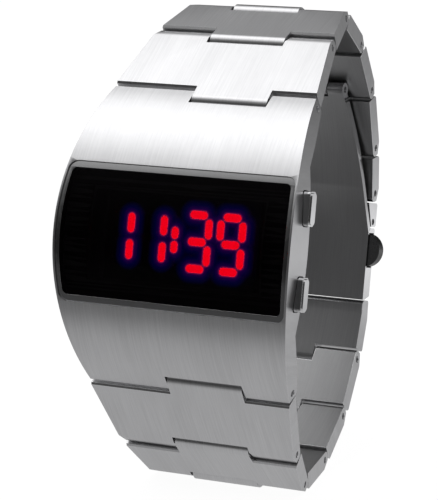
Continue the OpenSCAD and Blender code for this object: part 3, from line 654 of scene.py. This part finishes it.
halo_mesh = mesh_of(bm, "bar_halo")
print("halo sheet with", len(halo_mesh.polygons), "faces")

# %% [markdown]
# The light of the sheet is an emission added to a transparent surface, so what lies behind it stays as
# it is. The ramp starts black over the bar itself, is pink along its outline, and ends in blue.

# %% Halo light
HALO_LIGHT = 10.0
HALO_STOPS = ((0.17, (0, 0, 0)), (0.2, (0.28, 0.015, 0.06)), (0.24, (0.2, 0.005, 0.07)),
              (0.31, (0.015, 0.0, 0.055)), (0.6, (0.0, 0.0, 0.03)), (1.0, (0, 0, 0)))
halo_mat, t, p = material("bar_halo")
t.nodes.remove(p)
fade = node(t, "ShaderNodeAttribute", attribute_name="away")
light = node(t, "ShaderNodeEmission", Strength=HALO_LIGHT)
clear = node(t, "ShaderNodeBsdfTransparent")
both = node(t, "ShaderNodeAddShader")
t.links.new(ramp(t, fade.outputs["Fac"], *HALO_STOPS), light.inputs["Color"])
t.links.new(light.outputs["Emission"], both.inputs[0])
t.links.new(clear.outputs["BSDF"], both.inputs[1])
t.links.new(both.outputs["Shader"], t.nodes["Material Output"].inputs["Surface"])
halo_mesh.materials.append(halo_mat)
halo = put("bar_halo", halo_mesh)
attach(halo, "case")
print("halo colours:", len(HALO_STOPS))

# %% [markdown]
# ## Floor
#
# The watch stands on white paper. Steel shows what is around it, and on white paper alone it would
# turn white as well. So the floor has three faces, chosen by the Light Path node: the camera sees white
# with the shadow of the watch, polished and brushed steel see greys, and all other light meets plain
# pale paper. The greys are painted reflections that only the steel sees: darkest in front of the watch,
# and a painted pool of light behind it, where they are brightest.

# %% Floor
FLOOR_HALF, FLOOR_SQUARES = 1.6, 24
bm = bmesh.new()
bmesh.ops.create_grid(bm, x_segments=FLOOR_SQUARES, y_segments=FLOOR_SQUARES, size=FLOOR_HALF)
floor_mesh = mesh_of(bm, "floor")
floor = put("floor", floor_mesh)
floor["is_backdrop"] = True
print("floor at z = 0 with", len(floor_mesh.polygons), "faces")

# %% Paper of the floor
PAPER = 0.86
WHITE_LIGHT, WHITE_SHARE = 1.15, 0.82
MIRROR_FROM, MIRROR_TO = -80 * MM, 220 * MM
# Painted reflections for the steel: dark in front of the watch, a painted pool of light behind it.
MIRROR_TONES = greys((0.0, 0.14), (0.05, 0.3), (0.1, 0.46), (0.18, 0.5), (0.5, 0.5), (0.7, 0.9),
                     (0.78, 0.7), (0.95, 0.3))
floor_mat, t, p = material("floor")
t.nodes.remove(p)
path = t.nodes.new("ShaderNodeLightPath")
diffuse = node(t, "ShaderNodeBsdfDiffuse", Color=(PAPER, PAPER, PAPER, 1))
seen = node(t, "ShaderNodeEmission", Color=(1, 1, 1, 1), Strength=WHITE_LIGHT)
mirrored = node(t, "ShaderNodeEmission", Strength=1.0)
where = t.nodes.new("ShaderNodeTexCoord")
apart = t.nodes.new("ShaderNodeSeparateXYZ")
t.links.new(where.outputs["Object"], apart.inputs["Vector"])
along_y = span(t, apart.outputs["Y"], 0.0, 1.0, MIRROR_FROM, MIRROR_TO)
t.links.new(ramp(t, along_y, *MIRROR_TONES), mirrored.inputs["Color"])
print("tones in the steel:", len(MIRROR_TONES), "from y =", MIRROR_FROM, "to y =", MIRROR_TO)

# %% One face for each kind of ray
for_camera = node(t, "ShaderNodeMixShader", Fac=WHITE_SHARE)
by_camera = t.nodes.new("ShaderNodeMixShader")
by_gloss = t.nodes.new("ShaderNodeMixShader")
t.links.new(diffuse.outputs["BSDF"], for_camera.inputs[1])
t.links.new(seen.outputs["Emission"], for_camera.inputs[2])
t.links.new(path.outputs["Is Camera Ray"], by_camera.inputs["Fac"])
t.links.new(diffuse.outputs["BSDF"], by_camera.inputs[1])
t.links.new(for_camera.outputs["Shader"], by_camera.inputs[2])
t.links.new(path.outputs["Is Glossy Ray"], by_gloss.inputs["Fac"])
t.links.new(by_camera.outputs["Shader"], by_gloss.inputs[1])
t.links.new(mirrored.outputs["Emission"], by_gloss.inputs[2])
t.links.new(by_gloss.outputs["Shader"], t.nodes["Material Output"].inputs["Surface"])
floor_mesh.materials.append(floor_mat)
print("floor material with", len(t.nodes), "nodes")

# %% [markdown]
# ## World
#
# The links on top of the loop mirror a bright patch above the watch, and everything else falls off to
# a dark room, which gives steel its contrast. A lamp would make a hard-edged patch, so the world holds
# it: its brightness grows with the angle towards one direction. The absolute values of the direction
# repeat the patch on both sides, so the watch looks alike from left and right. The camera itself sees
# a white world.

# %% World
PATCH = Vector((0.46, 0.0, 0.89)).normalized()
ROOM_LIGHT, WHITE_WORLD = 2.2, 1.0
ROOM_TONES = greys((0.3, 0.018), (0.5, 0.025), (0.72, 0.09), (0.8, 0.16), (0.9, 0.28), (0.955, 0.4),
                   (0.985, 0.58), (1.0, 0.66))
world = bpy.data.worlds.new("studio")
bpy.context.scene.world = world
world.use_nodes = True
t = world.node_tree
path = t.nodes.new("ShaderNodeLightPath")
coords = t.nodes.new("ShaderNodeTexCoord")
both_sides = node(t, "ShaderNodeVectorMath", operation="ABSOLUTE")
aim = node(t, "ShaderNodeVectorMath", operation="DOT_PRODUCT")
aim.inputs[1].default_value = PATCH
t.links.new(coords.outputs["Generated"], both_sides.inputs[0])
t.links.new(both_sides.outputs["Vector"], aim.inputs[0])
white = node(t, "ShaderNodeBackground", Color=(1, 1, 1, 1), Strength=WHITE_WORLD)
room = node(t, "ShaderNodeBackground", Strength=ROOM_LIGHT)
choose = t.nodes.new("ShaderNodeMixShader")
t.links.new(ramp(t, aim.outputs["Value"], *ROOM_TONES), room.inputs["Color"])
t.links.new(path.outputs["Is Camera Ray"], choose.inputs["Fac"])
t.links.new(room.outputs["Background"], choose.inputs[1])
t.links.new(white.outputs["Background"], choose.inputs[2])
t.links.new(choose.outputs["Shader"], t.nodes["World Output"].inputs["Surface"])
print("world is white for the camera, brightest tone for the steel:", round(ROOM_TONES[-1][1][0], 2))

# %% [markdown]
# ## Lamps
#
# Three large soft lamps fill what the world leaves dark: one above, one from the left and one from the
# right behind. Small lamps would draw hard spots in the steel. They are weak, because the world already
# gives most of the light. All point at the middle of the watch.

# %% Lamps
WATCH_MIDDLE = Vector((0, 0, 0.04))


def lamp(name, place, size, energy):
    data = bpy.data.lights.new(name, "AREA")
    data.shape = "RECTANGLE"
    data.size, data.size_y = size
    data.energy = energy
    o = put(name, data)
    o.location = place
    o.rotation_mode = "QUATERNION"
    o.rotation_quaternion = (WATCH_MIDDLE - Vector(place)).to_track_quat("-Z", "Y")
    return o


lamps = [lamp("softbox_above", (-0.22, -0.02, 0.5), size=(0.5, 0.3), energy=0.25),
         lamp("softbox_left", (-0.7, 0.1, 0.25), size=(0.3, 0.3), energy=0.15),
         lamp("softbox_right", (0.6, 0.2, 0.45), size=(0.4, 0.3), energy=0.1)]
print("lamps:", [o.name for o in lamps])

# %% [markdown]
# ## Measure and finish
#
# The Standard view shows colours about as they are written. The box of the dressed watch is measured
# again, because bevels, coils and halo must stay inside the box of the model.

# %% Measure and finish
bpy.context.scene.view_settings.view_transform = "Standard"
bpy.context.view_layer.update()
scene_box = [list(v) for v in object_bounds()]
print("scene box in mm:", [[round(c / MM, 1) for c in v] for v in scene_box])
